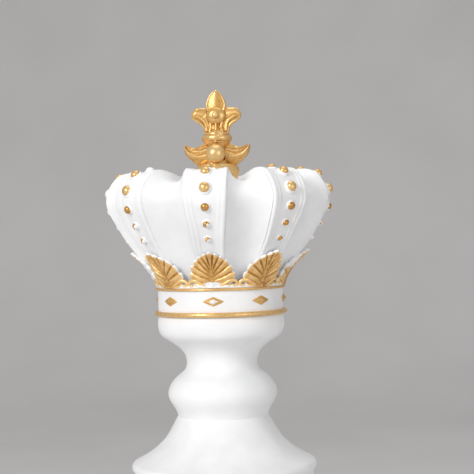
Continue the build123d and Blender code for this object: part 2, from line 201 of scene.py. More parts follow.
BRUSH_PER_METRE = 260
RAGGED_EDGE_PER_METRE = 700


def gold_paint(name, bright, middle, deep, roughness, metal):
    """Brushed-on gold paint with random brush tone: painted shade darkens it in folds, a painted highlight
    lightens it on edges, and it is bare white where the brush missed.
    """
    material, nodes, links, shader = new_material(name)
    brush = noise_texture(nodes, links, BRUSH_PER_METRE, 4, 0.6)
    # The vertex attribute read next is painted shading: added to random brush tone, it darkens the gold in
    # folds (painted shade) and lightens it on edges (painted highlight).
    painted_shading = attribute(nodes, "painted_shading")
    paint = attribute(nodes, "paint")
    tone = arithmetic(nodes, links, "ADD", painted_shading, spread(nodes, links, brush, -0.16, 0.16))
    gold = ramp(nodes, links, tone, ((0.25, bright), (0.5, middle), (0.85, deep)))
    edge = noise_texture(nodes, links, RAGGED_EDGE_PER_METRE, 3)
    ragged = arithmetic(nodes, links, "ADD", paint, spread(nodes, links, edge, -0.25, 0.25))
    cover = spread(nodes, links, ragged, 0.0, 1.0, 0.42, 0.58)
    links.new(mix_colour(nodes, links, cover, WHITE_LIGHT, gold), shader.inputs["Base Color"])
    links.new(arithmetic(nodes, links, "MULTIPLY", cover, metal), shader.inputs["Metallic"])
    wear_and_painted_highlight = spread(nodes, links, brush, roughness - 0.07, roughness + 0.09)
    links.new(wear_and_painted_highlight, shader.inputs["Roughness"])
    bump(nodes, links, shader, brush, 0.0006, 0.13)
    return material


def plain_material(name, dark, light, roughness, metal, scale, grain):
    """A moulded, cast or turned surface with its own grain."""
    material, nodes, links, shader = new_material(name)
    texture = noise_texture(nodes, links, scale, 4)
    links.new(ramp(nodes, links, texture, ((0.3, dark), (0.7, light))), shader.inputs["Base Color"])
    links.new(spread(nodes, links, texture, roughness - 0.06, roughness + 0.08), shader.inputs["Roughness"])
    shader.inputs["Metallic"].default_value = metal
    bump(nodes, links, shader, texture, grain, 0.3)
    return material


white = white_paint()
gold = gold_paint("gold_paint", (0.82, 0.55, 0.24), (0.68, 0.385, 0.115), (0.36, 0.16, 0.03),
                  roughness=0.31, metal=0.62)
leaf_gold = gold_paint("leaf_gold_paint", (0.90, 0.61, 0.27), (0.74, 0.44, 0.14), (0.44, 0.22, 0.06),
                       roughness=0.36, metal=0.45)
black_rubber = plain_material("black_rubber", (0.018, 0.018, 0.019), (0.035, 0.035, 0.036),
                              roughness=0.78, metal=0, scale=900, grain=0.0003)
black_plastic = plain_material("black_plastic", (0.03, 0.03, 0.032), (0.05, 0.05, 0.052),
                               roughness=0.5, metal=0, scale=1400, grain=0.0002)
bare_plastic = plain_material("bare_plastic", (0.66, 0.66, 0.65), (0.74, 0.74, 0.73),
                              roughness=0.42, metal=0, scale=300, grain=0.0002)
zinc_steel = plain_material("zinc_steel", (0.50, 0.51, 0.53), (0.66, 0.66, 0.66),
                            roughness=0.32, metal=1, scale=220, grain=0.0002)
turned_brass = plain_material("turned_brass", (0.62, 0.44, 0.17), (0.78, 0.58, 0.26),
                              roughness=0.3, metal=1, scale=260, grain=0.0002)
cast_iron = plain_material("cast_iron", (0.045, 0.045, 0.048), (0.09, 0.09, 0.092),
                           roughness=0.7, metal=0.6, scale=350, grain=0.0008)

CAD_FINISH = {
    "foot_ring": black_rubber, "crown_gasket": black_rubber, "finial_washer": black_rubber,
    "base_plate": black_plastic, "base_plate_screws": zinc_steel, "ballast_disc": cast_iron,
    "tie_rod": zinc_steel, "ballast_washer": zinc_steel, "ballast_nut": zinc_steel,
    "upper_washer": zinc_steel, "upper_nut": zinc_steel, "threaded_spigot": bare_plastic,
    "finial_stud": turned_brass, "plinth_shell": white, "body_shell": white, "stem_shell": white,
    "crown_band": white, "crown_deck": white, "crown_boss": white,
}
for node_name, finish in CAD_FINISH.items():
    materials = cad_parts[node_name].data.materials
    materials.clear()
    materials.append(finish)


# ---------------------------------------------------------------- mesh helpers
def smooth_line(points, count):
    """Points at even distances along a smooth curve through the given ones, ends included."""
    given = np.array(points, dtype=float)
    padded = np.vstack([2 * given[0] - given[1], given, 2 * given[-1] - given[-2]])
    dense = []
    for index in range(1, len(padded) - 2):
        p0, p1, p2, p3 = padded[index - 1:index + 3]
        for share in np.linspace(0, 1, 24, endpoint=False):
            dense.append(0.5 * (2 * p1 + (p2 - p0) * share + (2 * p0 - 5 * p1 + 4 * p2 - p3) * share**2
                                + (3 * p1 - p0 - 3 * p2 + p3) * share**3))
    dense.append(given[-1])
    dense = np.array(dense)
    lengths = np.concatenate([[0], np.cumsum(np.linalg.norm(np.diff(dense, axis=0), axis=1))])
    wanted = np.linspace(0, lengths[-1], count)
    return np.stack([np.interp(wanted, lengths, dense[:, axis]) for axis in range(dense.shape[1])], axis=1)


def grid_faces(rows, columns, wrap_rows):
    """Quads over a grid whose rows are closed loops; wrap_rows also joins the last row to the first."""
    faces = []
    for row in range(rows if wrap_rows else rows - 1):
        for column in range(columns):
            next_row = (row + 1) % rows
            next_column = (column + 1) % columns
            faces.append((row * columns + column, row * columns + next_column,
                          next_row * columns + next_column, next_row * columns + column))
    return faces


def grid_part(points, wrap_rows=False, caps=False, paint=1.0):
    """A mesh part from points[row][column], with its two end rows closed if caps is set."""
    points = np.array(points, dtype=float)
    rows, columns = points.shape[:2]
    faces = grid_faces(rows, columns, wrap_rows)
    if caps:
        faces.append(tuple(range(columns)))
        faces.append(tuple((rows - 1) * columns + column for column in range(columns)))
    paint = np.broadcast_to(np.array(paint, dtype=float), (rows, columns)).reshape(-1)
    return points.reshape(-1, 3), faces, paint


def painted_shading_values(mesh, reach):
    """How hollow the surface is at each vertex, used as painted shading: 0.5 on flats, towards 1 in folds
    (painted shade), towards 0 on edges (painted highlight).
    """
    count = len(mesh.vertices)
    places = np.empty(count * 3)
    normals = np.empty(count * 3)
    mesh.vertices.foreach_get("co", places)
    mesh.vertices.foreach_get("normal", normals)
    places = places.reshape(-1, 3)
    normals = normals.reshape(-1, 3)
    ends = np.empty(len(mesh.edges) * 2, dtype=int)
    mesh.edges.foreach_get("vertices", ends)
    first, second = ends.reshape(-1, 2).T

    def average(values):
        total = np.zeros_like(values)
        share = np.zeros(count)
        np.add.at(total, first, values[second])
        np.add.at(total, second, values[first])
        np.add.at(share, first, 1)
        np.add.at(share, second, 1)
        share = np.maximum(share, 1)
        return total / (share[:, None] if values.ndim == 2 else share)

    blurred = places
    for _ in range(reach):
        blurred = average(blurred)
    hollow = np.einsum("ij,ij->i", blurred - places, normals) / MM
    for _ in range(2):
        hollow = average(hollow)
    return np.clip(0.5 + hollow * 1.6, 0, 1)


MERGE_DISTANCE = 0.01 * MM


def add_piece(name, parts, material, body, nodes, reach=4):
    """Joins mesh parts into one piece, fills its paint attribute and its painted shading, and ties it to the
    frame.
    """
    vertices, faces, paint = [], [], []
    for part_points, part_faces, part_paint in parts:
        offset = len(vertices)
        vertices.extend(tuple(point * MM) for point in part_points)
        faces.extend(tuple(index + offset for index in face) for face in part_faces)
        paint.extend(part_paint)
    mesh = bpy.data.meshes.new(name)
    mesh.from_pydata(vertices, [], faces)
    layer = mesh.attributes.new("paint", "FLOAT", "POINT")
    layer.data.foreach_set("value", np.array(paint, dtype=np.float32))
    work = bmesh.new()
    work.from_mesh(mesh)
    bmesh.ops.remove_doubles(work, verts=work.verts, dist=MERGE_DISTANCE)
    bmesh.ops.dissolve_degenerate(work, edges=work.edges, dist=MERGE_DISTANCE / 2)
    bmesh.ops.recalc_face_normals(work, faces=work.faces)
    work.to_mesh(mesh)
    work.free()
    mesh.polygons.foreach_set("use_smooth", [True] * len(mesh.polygons))
    mesh.update()
    # Painted shading for the gold: painted shade in folds, painted highlight on edges.
    painted_shading = mesh.attributes.new("painted_shading", "FLOAT", "POINT")
    painted_shading.data.foreach_set("value", painted_shading_values(mesh, reach).astype(np.float32))
    mesh.materials.append(material)
    piece = bpy.data.objects.new(name, mesh)
    bpy.context.scene.collection.objects.link(piece)
    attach(piece, body)
    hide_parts(*nodes)
    return piece


def sharpen(piece, degrees):
    """Keeps edges sharper than the given angle crisp."""
    piece.data.set_sharp_from_angle(angle=math.radians(degrees))


def lathe_part(profile, segments, radius_at=None, paint=1.0):
    """Turns a closed (r, z) profile about Z; radius_at changes a radius with its angle and height."""
    points = []
    for radius, level in profile:
        row = []
        for step in range(segments):
            angle = 2 * math.pi * step / segments
            reach = radius_at(radius, level, angle) if radius_at else radius
            row.append((reach * math.sin(angle), -reach * math.cos(angle), level))
        points.append(row)
    return grid_part(points, wrap_rows=True, paint=paint)


TUBE_SIDES = 12


def tube_part(path, radii):
    """A tapered round strip along a path of 3-D points, closed flat at both ends."""
    path = np.array(path, dtype=float)
    tangents = np.gradient(path, axis=0)
    tangents /= np.linalg.norm(tangents, axis=1)[:, None]
    depth = np.array((0.0, 1.0, 0.0))
    rows = []
    for point, tangent, radius in zip(path, tangents, radii):
        side = np.cross(tangent, depth)
        side /= max(np.linalg.norm(side), 1e-6)
        across = np.cross(side, tangent)
        angles = np.arange(TUBE_SIDES) * 2 * math.pi / TUBE_SIDES
        rows.append([point + radius * (math.cos(a) * side + math.sin(a) * across) for a in angles])
    return grid_part(rows, caps=True)


def taper(count, start, middle, end):
    """Radii that swell smoothly from start through middle to end."""
    share = np.linspace(0, 1, count)
    return np.interp(share, (0, 0.45, 1), (start, middle, end))


def ball_part(centre, radius, squash=(1, 1, 1), rings=20, segments=32):
    """A ball or an egg, whose poles lie along Z."""
    rows = []
    for ring in range(rings + 1):
        polar = math.pi * ring / rings
        row = []
        for step in range(segments):
            angle = 2 * math.pi * step / segments
            row.append((centre[0] + radius * squash[0] * math.sin(polar) * math.cos(angle),
                        centre[1] + radius * squash[1] * math.sin(polar) * math.sin(angle),
                        centre[2] + radius * squash[2] * math.cos(polar)))
        rows.append(row)
    return grid_part(rows)


def mirrored(part):
    points, faces, paint = part
    return points * np.array((-1, 1, 1)), faces, paint


# ---------------------------------------------------------------- the crown's surface
# Profiles as (r, z), from the crown's foot to the finial's seat.
strap_line = smooth_line(((58.5, deck_top), (70, 463), (83.4, 479), (97, 498.5), (111, 528), (102.5, 551.0),
                          (84, 557.3), (45, 547.2), (22.6, 543)), 201)
bowl_line = smooth_line(((57, deck_top), (71.5, 469), (92, 500), (105.8, 528), (98, 544.8), (82, 550.6),
                         (45, 542.5), (17.1, 538.2)), 201)


def along(line, share):
    """The point of a profile at a share of its length, and its outward normal."""
    position = share * (len(line) - 1)
    index = min(int(position), len(line) - 2)
    rest = position - index
    point = line[index] * (1 - rest) + line[index + 1] * rest
    low = line[max(index - 1, 0)]
    high = line[min(index + 2, len(line) - 1)]
    tangent = (high - low) / np.linalg.norm(high - low)
    return point, np.array((tangent[1], -tangent[0]))


def crown_point(line, share, aside, height, turn):
    """A point over a crown profile: aside of the middle, and height above it, turned about Z."""
    point, normal = along(line, share)
    radius = point[0] + normal[0] * height
    level = point[1] + normal[1] * height
    angle = math.asin(max(-1, min(1, aside / max(radius, abs(aside) + 0.1)))) + turn
    return (radius * math.sin(angle), -radius * math.cos(angle), level)


STRAP_ROWS = 121
# The strap's half width at shares of its length.
STRAP_WIDTHS = ((0, 12), (0.2, 13.8), (0.28, 15.3), (0.36, 17.2), (0.42, 18.9), (0.48, 20.0), (0.6, 20.5),
                (0.7, 19.6), (0.8, 15.6), (0.9, 10.7), (1, 6.5))
RIB_WIDTH = 8.4
RIB_HEIGHT = 1.5
# The rib from the strap's edge to its field, as (share of the rib's width, level).
RIB_PROFILE = ((0.0, -0.30), (0.03, 0.22), (0.10, 0.50), (0.22, 0.60), (0.36, 0.56), (0.43, 0.30),
               (0.48, 0.08), (0.54, 0.02), (0.80, 0.02), (0.89, -0.10), (0.96, -0.50), (1.04, -0.64),
               (1.12, -0.66))
RIB_BOTTOM = -0.66
RIB_TOP = 0.60
RIB_END = 1.12
# A strap whose half is narrower than this has its ribs narrowed in proportion.
FULL_RIB_HALF = 16
FIELD_DEPTH = -0.8
STRAP_ROOT = -7.5


def strap_half_width(share):
    return float(np.interp(share, *zip(*STRAP_WIDTHS)))


def strap_section(half):
    """The strap's cross-section: flat field, two steps up to a rounded edge, and straight sides."""
    rib = RIB_WIDTH * min(1, half / FULL_RIB_HALF)
    side = [(half + 0.6, STRAP_ROOT), (half + 0.3, -3.4), (half + 0.1, -1.6)]
    for reach, level in RIB_PROFILE:
        height = RIB_HEIGHT * (level - RIB_BOTTOM) / (RIB_TOP - RIB_BOTTOM)
        side.append((half - reach * rib, FIELD_DEPTH + height))
    inner = half - RIB_END * rib
    field = [(inner * share, FIELD_DEPTH) for share in (0.66, 0.33, 0)]
    right = side + field
    left = [(-x, h) for x, h in reversed(right[:-1])]
    floor = [(-half * share, STRAP_ROOT) for share in (0.5, 0, -0.5)]
    return right + left + floor


def strap_part(turn):
    rows = []
    for share in np.linspace(0.0, 1.0, STRAP_ROWS):
        half = strap_half_width(share)
        rows.append([crown_point(strap_line, share, x, h, turn) for x, h in strap_section(half)])
    return grid_part(rows, caps=True, paint=0.0)


FLUTE_DEPTH = 6.5
# A flute narrower than this is shallower in proportion.
FULL_FLUTE_WIDTH = 34
# How far the bowl stays below the straps' edges, and how far under a strap it falls back to its own profile.
EDGE_STEP = 1.3
EDGE_COVER = 4
BOWL_WALL = 8.5
BOWL_ROWS = 110
# The bowl's columns under each half of a strap, and across the flute between two straps.
UNDER_COLUMNS = 6
FLUTE_COLUMNS = 34

FOOT_RING = ((57, 0), (63.4, 0), (63.8, 1.2), (63.5, 2.6), (62.4, 4.0), (57, 4.6))


def bowl_parts():
    """The bowl, hollowed between the straps and raised to their edges, and the white ring at its foot."""
    under, across = UNDER_COLUMNS, FLUTE_COLUMNS
    outer, inner = [], []
    for share in np.linspace(0, 1, BOWL_ROWS):
        point, _ = along(bowl_line, share)
        edge = math.asin(min(0.99, strap_half_width(share) / max(point[0], 1)))
        edge = min(edge, TURN / 2 - 0.012)
        gap = TURN - 2 * edge
        depth = FLUTE_DEPTH * min(1, gap * point[0] / FULL_FLUTE_WIDTH) * min(1, (1.04 - share) * 4)
        rise = max(0, float(np.min(np.linalg.norm(strap_line - point, axis=1))) - EDGE_STEP)
        # The rise fades out at the bowl's foot and at its top.
        rise *= min(1, share * 6) * min(1, (1 - share) * 5)
        row, inside = [], []
        for strap in range(STRAPS):
            for step in range(-under, across + under):
                place = 0.5 - 0.5 * math.cos(math.pi * min(max(step, 0), across) / across)
                angle = edge + gap * place + edge * (min(step, 0) + max(step - across, 0)) / under
                scoop = depth * (1 - (2 * place - 1)**2)**0.85
                covered = max(edge - angle, angle - (TURN - edge), 0) * point[0]
                lift = rise * abs(2 * place - 1)**3 * max(0, 1 - covered / EDGE_COVER)
                row.append(crown_point(bowl_line, share, 0, lift - scoop, strap * TURN + angle))
                inside.append(crown_point(bowl_line, share, 0, -BOWL_WALL, strap * TURN + angle))
        outer.append(row)
        inner.append(inside)
    bowl = grid_part(outer + inner[::-1], wrap_rows=True, paint=0.0)
    foot = [(radius, deck_top + level) for radius, level in FOOT_RING]
    return [bowl, lathe_part(foot, 240, paint=0.0)]


# ---------------------------------------------------------------- studs
STUD_SHARES = (0.278, 0.357, 0.443, 0.530, 0.618, 0.704, 0.796, 0.876)
STUD_SIZES = (6.0, 7.0, 8.2, 10.4, 9.4, 9.0, 8.5, 8.0)
STUD_COVERAGE = (0.45, 0.65, 1, 1, 1, 1, 1, 1)
STUD_SIDES = 28
DOME_RADIUS = 0.475
# Studs that the brush partly or wholly missed, as (strap, stud): coverage, where -0.5 leaves a stud bare.
MISSED_STUDS = {(2, 0): -0.5, (2, 1): -0.1, (2, 2): 0.4, (6, 2): 0.2, (6, 3): 0.1, (7, 5): -0.6}


def stud_part(share, size, strap, index):
    """A round dome on a white collar; the brush only caught part of some."""
    turn = strap * TURN
    # Radii and levels in shares of the size, except the foot's level, which is in millimetres.
    profile = [(0.70, -1.8), (0.70, -0.35), (0.66, 0.02), (0.58, 0.09), (0.50, 0.15)]
    for step in range(9):
        angle = math.pi / 2 * step / 8
        profile.append((DOME_RADIUS * math.cos(angle), 0.20 + 0.36 * math.sin(angle)))
    point, normal = along(strap_line, share)
    centre = np.array(crown_point(strap_line, share, 0, FIELD_DEPTH, turn))
    out = np.array((normal[0] * math.sin(turn), -normal[0] * math.cos(turn), normal[1]))
    across = np.array((math.cos(turn), math.sin(turn), 0.0))
    up = np.cross(out, across)
    coverage = MISSED_STUDS.get((strap, index), STUD_COVERAGE[index])
    rows, paint = [], []
    for radius, height in profile:
        lift = height if abs(height) > 1 else height * size
        row, shade = [], []
        for step in range(STUD_SIDES):
            angle = 2 * math.pi * step / STUD_SIDES
            cosine, sine = math.cos(angle), math.sin(angle)
            row.append(centre + size * radius * (cosine * across + sine * up) + lift * out)
            brushed = noise.noise(Vector((turn * 3 + index, cosine * radius * 3, sine * radius * 3)))
            slant = 1.1 * radius * (sine - cosine)
            if radius > DOME_RADIUS:
                shade.append(0.0)
            elif coverage == 1:
                shade.append(1.0)
            else:
                shade.append(max(0, min(1, coverage + slant + 0.7 * brushed)))
        rows.append(row)
        paint.append(shade)
    return grid_part(rows, caps=True, paint=paint)


# ---------------------------------------------------------------- shell leaves
leaf_line = smooth_line(((64.2, deck_top), (65.6, 450), (68.7, 456), (72.5, 461.8), (77.0, 467.6),
                         (82.4, 473.2), (88.6, 479.2), (91.2, 482.6)), 101)
LEAF_LENGTH = float(np.sum(np.linalg.norm(np.diff(leaf_line, axis=0), axis=1)))
LEAF_THICKNESS = 3.6
LEAF_RIM = 1.4
LEAF_CURL = 2.0
CURL_START = 26
CURL_SPAN = 18
LEAF_FOLD = 1.1
FOLD_SPAN = 22.0
# Leaves by place, counted from the front: their painting differs.
FRONT_LEAF = 0
RIGHT_LEAF = 2
LEFT_LEAF = 6
# Half of the leaf's edge from its top, as (aside, up, crest): crest is 1 at a lobe's tip and 0 in a notch.
LEAF_EDGE = ((0, 44.6, 1), (2.0, 43.0, 0.7), (2.9, 39.9, 0), (5.6, 41.4, 1), (7.6, 39.0, 0.7), (7.8, 35.8, 0),
             (10.7, 36.9, 1), (12.5, 33.8, 0.7), (12.4, 30.4, 0), (15.6, 30.9, 1), (17.0, 27.4, 0.7),
             (16.4, 24.0, 0), (19.6, 23.7, 1), (20.4, 19.6, 0.7), (19.0, 16.2, 0), (21.8, 14.9, 1),
             (21.2, 10.2, 0.6), (18.8, 6.0, 0), (16.0, 1.6, 0.7), (10.0, 0.7, 0.3), (4.5, 0.5, 0.6))
# Shares of the way from a leaf's spine to its edge at which its face and back have points.
FACE_RINGS = (0, 0.06, 0.13, 0.2, 0.28, 0.36, 0.44, 0.52, 0.6, 0.68, 0.76, 0.83, 0.89, 0.93, 0.96, 0.985, 1.0)
# The back as (share of the way, share of its depth).
BACK_RINGS = ((1.0, 0.1), (0.985, 0.35), (0.9, 1.0), (0.5, 1.0), (0, 1.0))


def leaf_point(aside, up, height, turn):
    """A point over a leaf's face, whose tip curls away from the strap behind it."""
    share = min(max(up / LEAF_LENGTH, 0), 1)
    curl = LEAF_CURL * max(0, (up - CURL_START) / CURL_SPAN)**2
    fold = -LEAF_FOLD * (abs(aside) / FOLD_SPAN)**2
    return crown_point(leaf_line, share, aside, height + curl + fold, turn)


def nudged(half, side, start, slice_level):
    """Half an edge on one side (1 or -1), with each lobe nudged a little as in hand carving."""
    points = []
    for index, (aside, up, crest) in enumerate(half):
        nudge = noise.noise(Vector((start, index * 0.9, slice_level)))
        points.append((side * aside * (1 + 0.03 * nudge), up + 0.7 * nudge, crest))
    return points


def leaf_outline(number):
    """The whole edge, clockwise from the top."""
    right = nudged(LEAF_EDGE, 1, number * 5.1, 0.3)
    left = nudged(LEAF_EDGE[1:], -1, number * 5.1 + 40, 0.7)
    edge = np.array(right + [(0, 0.4, 0.3)] + left[::-1] + [right[0]], dtype=float)
    steps = np.arange(0, len(edge) - 1, 0.2)
    dense = np.stack([np.interp(steps, np.arange(len(edge)), edge[:, axis]) for axis in range(3)], axis=1)
    return 0.25 * np.roll(dense, 1, axis=0) + 0.5 * dense + 0.25 * np.roll(dense, -1, axis=0)


def leaf_face(outline, reach):
    """The outline drawn in towards the leaf's spine, which each rib leaves a little below its own lobe."""
    points = []
    for aside, up, crest in outline:
        root = 1.0 + 0.45 * max(0, up - 4)
        points.append((aside * reach, root + (up - root) * reach, crest))
    return points


RIB_RELIEF = 2.1
KNUCKLE_RELIEF = 0.5
SPINE_RELIEF = 1.1
SPINE_WIDTH = 1.3
SPINE_TOP = 39
EDGE_DROP = 0.7


def leaf_relief(x, y, crest, reach):
    """The height of a leaf's ribs, spine and rounded edge over its face."""
    ridge = 1 - (1 - crest)**1.5
    rib = RIB_RELIEF * (ridge - 0.62) * min(1, reach * 2.2)
    knuckle = KNUCKLE_RELIEF * crest * math.exp(-((reach - 0.62) / 0.07)**2)
    spine = SPINE_RELIEF * math.exp(-(x / SPINE_WIDTH)**2) * min(1, (SPINE_TOP - min(y, SPINE_TOP)) / 8)
    drop = EDGE_DROP * max(0, (reach - 0.94) / 0.06)**2
    return rib + knuckle + spine - drop


def leaf_paint(x, y, reach, number):
    """Gold on the face and white on the edge, with the flank patches that the brush missed and a bare white
    patch at the front leaf's foot.
    """
    wander = 9 * noise.noise(Vector((x * 0.12, y * 0.12, 4.0)))
    left_flank = number == LEFT_LEAF and x > 8 + wander
    right_flank = number == RIGHT_LEAF and x < -8 + wander and y > 20 + wander
    # The front leaf alone is left white low in its middle.
    front_foot = number == FRONT_LEAF and y + 0.018 * x * x < 6.5
    if left_flank or right_flank or front_foot or reach > 0.99:
        return 0.0
    return 1.0 if reach < 0.983 else 0.6


def leaf_part(turn, number):
    """A shell leaf: ribs branch from its spine to its lobes, and its back is plain."""
    outline = leaf_outline(number)
    rows, paint = [], []
    for reach in FACE_RINGS:
        face = leaf_face(outline, reach)
        rows.append([leaf_point(x, y, leaf_relief(x, y, crest, reach), turn) for x, y, crest in face])
        paint.append([leaf_paint(x, y, reach, number) for x, y, crest in face])
    for reach, depth in BACK_RINGS:
        height = -LEAF_RIM - (LEAF_THICKNESS - LEAF_RIM) * depth
        rows.append([leaf_point(x, y, height, turn) for x, y, crest in leaf_face(outline, reach)])
        paint.append([0.0] * len(outline))
    return grid_part(rows, paint=paint)


STRIP_SIDES = 10


def strip_part(route, radii, level, swell, turn, paint):
    """A tapered strip laid along (aside, up) points on a leaf's face."""
    directions = np.gradient(route, axis=0)
    directions /= np.linalg.norm(directions, axis=1)[:, None]
    rows = []
    for (aside, up), (run, rise), radius in zip(route, directions, radii):
        row = []
        for step in range(STRIP_SIDES):
            angle = 2 * math.pi * step / STRIP_SIDES
            offset = radius * math.cos(angle)
            row.append(leaf_point(aside - rise * offset, max(0.1, up + run * offset),
                                  level + swell * radius * math.sin(angle), turn))
        rows.append(row)
    return grid_part(rows, caps=True, paint=paint)


def scroll_parts(turn):
    """The curled sprays at a leaf's two lower corners."""
    curl = smooth_line(((7, 2.6), (12, 4.6), (17.5, 7.2), (21.8, 6.4), (23.2, 3.4), (21.0, 1.6),
                        (19.2, 3.2)), 34)
    spray = smooth_line(((7, 1.2), (12, 1.9), (16, 2.2), (18.5, 1.4)), 20)
    parts = []
    for side in (np.array((1, 1)), np.array((-1, 1))):
        parts.append(strip_part(curl * side, taper(34, 0.9, 1.9, 1.0), -0.5, 0.8, turn, 0.9))
        parts.append(strip_part(spray * side, taper(20, 0.6, 1.3, 0.5), -1.0, 0.8, turn, 0.8))
    return parts


for strap in range(STRAPS):
    turn = strap * TURN
    number = strap + 1
    add_piece(f"strap_{number}", [strap_part(turn)], white, "crown", [f"crown_strap_{number}"])
    studs = [stud_part(share, size, strap, index)
             for index, (share, size) in enumerate(zip(STUD_SHARES, STUD_SIZES))]
    add_piece(f"studs_{number}", studs, gold, "crown", [f"strap_studs_{number}"], reach=2)
    add_piece(f"leaf_{number}", [leaf_part(turn, strap)] + scroll_parts(turn), leaf_gold, "crown",
              [f"crown_leaf_{number}"])

add_piece("bowl", bowl_parts(), white, "crown", ["crown_bowl"])


# ---------------------------------------------------------------- band: diamonds and rims
LOZENGE_HALF_WIDTH = 10.0
LOZENGE_HALF_HEIGHT = 4.5
LOZENGE_SIDES = 48
# The power of cosine and sine in the outline: 2 gives straight edges, and less makes them swell.
LOZENGE_POWER = 1.85
# From rim to peak, as (share of the half width and height, height over the band).
LOZENGE_RINGS = ((1.06, -1.6), (1.06, -0.05), (1.0, 0.45), (0.93, 0.85), (0.7, 1.3), (0.45, 1.95),
                 (0.2, 2.75), (0.06, 3.0), (0.0, 3.05))
lozenge_level = middle_of("band_lozenges")


def lozenge_part(turn):
    """A four-sided pyramid with softened edges; the middle of the front one is painted pale, a painted
    highlight.
    """
    rows, paint = [], []
    for reach, relief in LOZENGE_RINGS:
        row = []
        for step in range(LOZENGE_SIDES):
            angle = 2 * math.pi * step / LOZENGE_SIDES
            reach_x = math.copysign(abs(math.cos(angle))**LOZENGE_POWER, math.cos(angle))
            reach_z = math.copysign(abs(math.sin(angle))**LOZENGE_POWER, math.sin(angle))
            aside = LOZENGE_HALF_WIDTH * reach * reach_x
            radius = band_radius + relief
            spin = turn + math.asin(aside / radius)
            row.append((radius * math.sin(spin), -radius * math.cos(spin),
                        lozenge_level + LOZENGE_HALF_HEIGHT * reach * reach_z))
        rows.append(row)
        # The front diamond's middle is painted pale: a painted highlight, not wear.
        wear_and_painted_highlight = turn == 0 and reach < 0.6
        paint.append([0.35 if reach > 1.03 or wear_and_painted_highlight else 1.0] * LOZENGE_SIDES)
    return grid_part(rows, caps=True, paint=paint)


lozenges = add_piece("band_diamonds", [lozenge_part(strap * TURN) for strap in range(STRAPS)], gold,
                     "crown", ["band_lozenges"], reach=2)
sharpen(lozenges, 32)


def wavering(amount, seed):
    """A radius that wanders a little round the ring, as a hand-finished moulding does."""
    def radius_at(radius, level, angle):
        place = Vector((math.cos(angle) * 2.2, math.sin(angle) * 2.2, level * 0.15 + seed))
        return radius + amount * noise.noise(place)
    return radius_at


def bead_profile(radius, level, out, up, opening, count):
    """Points round the outer side of a rounded moulding, from opening degrees below to as far above."""
    points = []
    for step in range(count):
        angle = math.radians(-opening + 2 * opening * step / (count - 1))
        points.append((radius + out * math.cos(angle), level + up * math.sin(angle)))
    return points


RIM_SEGMENTS = 240
RIM_INSIDE = 61.5

lower_rim = [(RIM_INSIDE, rim_top - 0.2), (RIM_INSIDE, rim_low + 1.7), (60.0, rim_low + 1.6),
             (60.0, rim_low + 0.1), (63.6, rim_low + 0.05)]
lower_rim += bead_profile(63.9, (rim_low + rim_top) / 2, 2.5, 2.4, 80, 13)
add_piece("lower_rim", [lathe_part(lower_rim, RIM_SEGMENTS, wavering(0.22, 1))], gold, "crown",
          ["lower_rim_trim"], reach=3)

rim_depth = deck_top - bottom_of("upper_rim_trim")
upper_rim = [(RIM_INSIDE, deck_top - 0.1), (RIM_INSIDE, deck_top - rim_depth)]
upper_rim += bead_profile(63.0, deck_top - rim_depth / 2, 2.0, rim_depth / 2, 85, 13)
add_piece("upper_rim", [lathe_part(upper_rim, RIM_SEGMENTS, wavering(0.25, 5))], gold, "crown",
          ["upper_rim_trim"], reach=3)


# ---------------------------------------------------------------- finial
# The radius inside the turned finial pieces, which clears the threaded stud.
BORE = 7.05
CUSHION_RINGS = 9
RIDGE_ROWS = 32


def cushion_part(outline, spine, edge, rise):
    """A two-sided leaf: a flat-edged outline that swells on both faces towards its spine."""
    outline = np.array(outline, dtype=float)
    spine = smooth_line(spine, 60)
    nearest = np.array([spine[np.argmin(np.linalg.norm(spine - point, axis=1))] for point in outline])
    rows = []
    for side in (-1, 1):
        half = []
        for ring in range(CUSHION_RINGS + 1):
            share = ring / CUSHION_RINGS
            bulge = edge + rise * math.sin(math.pi / 2 * (1 - share))**0.9
            flat = nearest * (1 - share) + outline * share
            half.append([(x, side * bulge, z) for x, z in flat])
        rows.extend(half if side < 0 else half[::-1])
    return grid_part(rows)


def ridge_part(points, depth, start, middle, end):
    """A raised lip along a leaf, given by (x, z) points, on the front face."""
    line = smooth_line(points, RIDGE_ROWS)
    return tube_part([(x, -depth, z) for x, z in line], taper(RIDGE_ROWS, start, middle, end))


def outline_of(*runs):
    """An outline of smooth runs, each given as (points, count), that meet at corners."""
    return np.vstack([smooth_line(points, count) for points, count in runs])


def both_faces(part):
    points, faces, paint = part
    return [part, (points * np.array((1, -1, 1)), faces, paint)]


def four_ways(part):
    """A front part copied to both faces and both sides."""
    return both_faces(part) + both_faces(mirrored(part))


LOBE_DEPTH = 2.6


def foot_radius(radius, _level, angle):
    """Four rounded lobes, one to each side, on the outside only."""
    return radius - LOBE_DEPTH * (0.5 - 0.5 * math.cos(4 * angle))**0.8 * (1 if radius > 10 else 0)


foot_outline = smooth_line(((17.6, 0.2), (19.8, 3.2), (21.8, 9.0), (21.6, 13.5), (18.6, 17.6)), 20)
foot_profile = [(BORE, 17.9), (BORE, 0.1)] + [tuple(point) for point in foot_outline] + [(14, 17.9)]
foot_profile = [(radius, finial_base + level) for radius, level in foot_profile]
add_piece("finial_base_lobes", [lathe_part(foot_profile, 160, foot_radius)], gold, "finial", ["finial_foot"],
          reach=5)


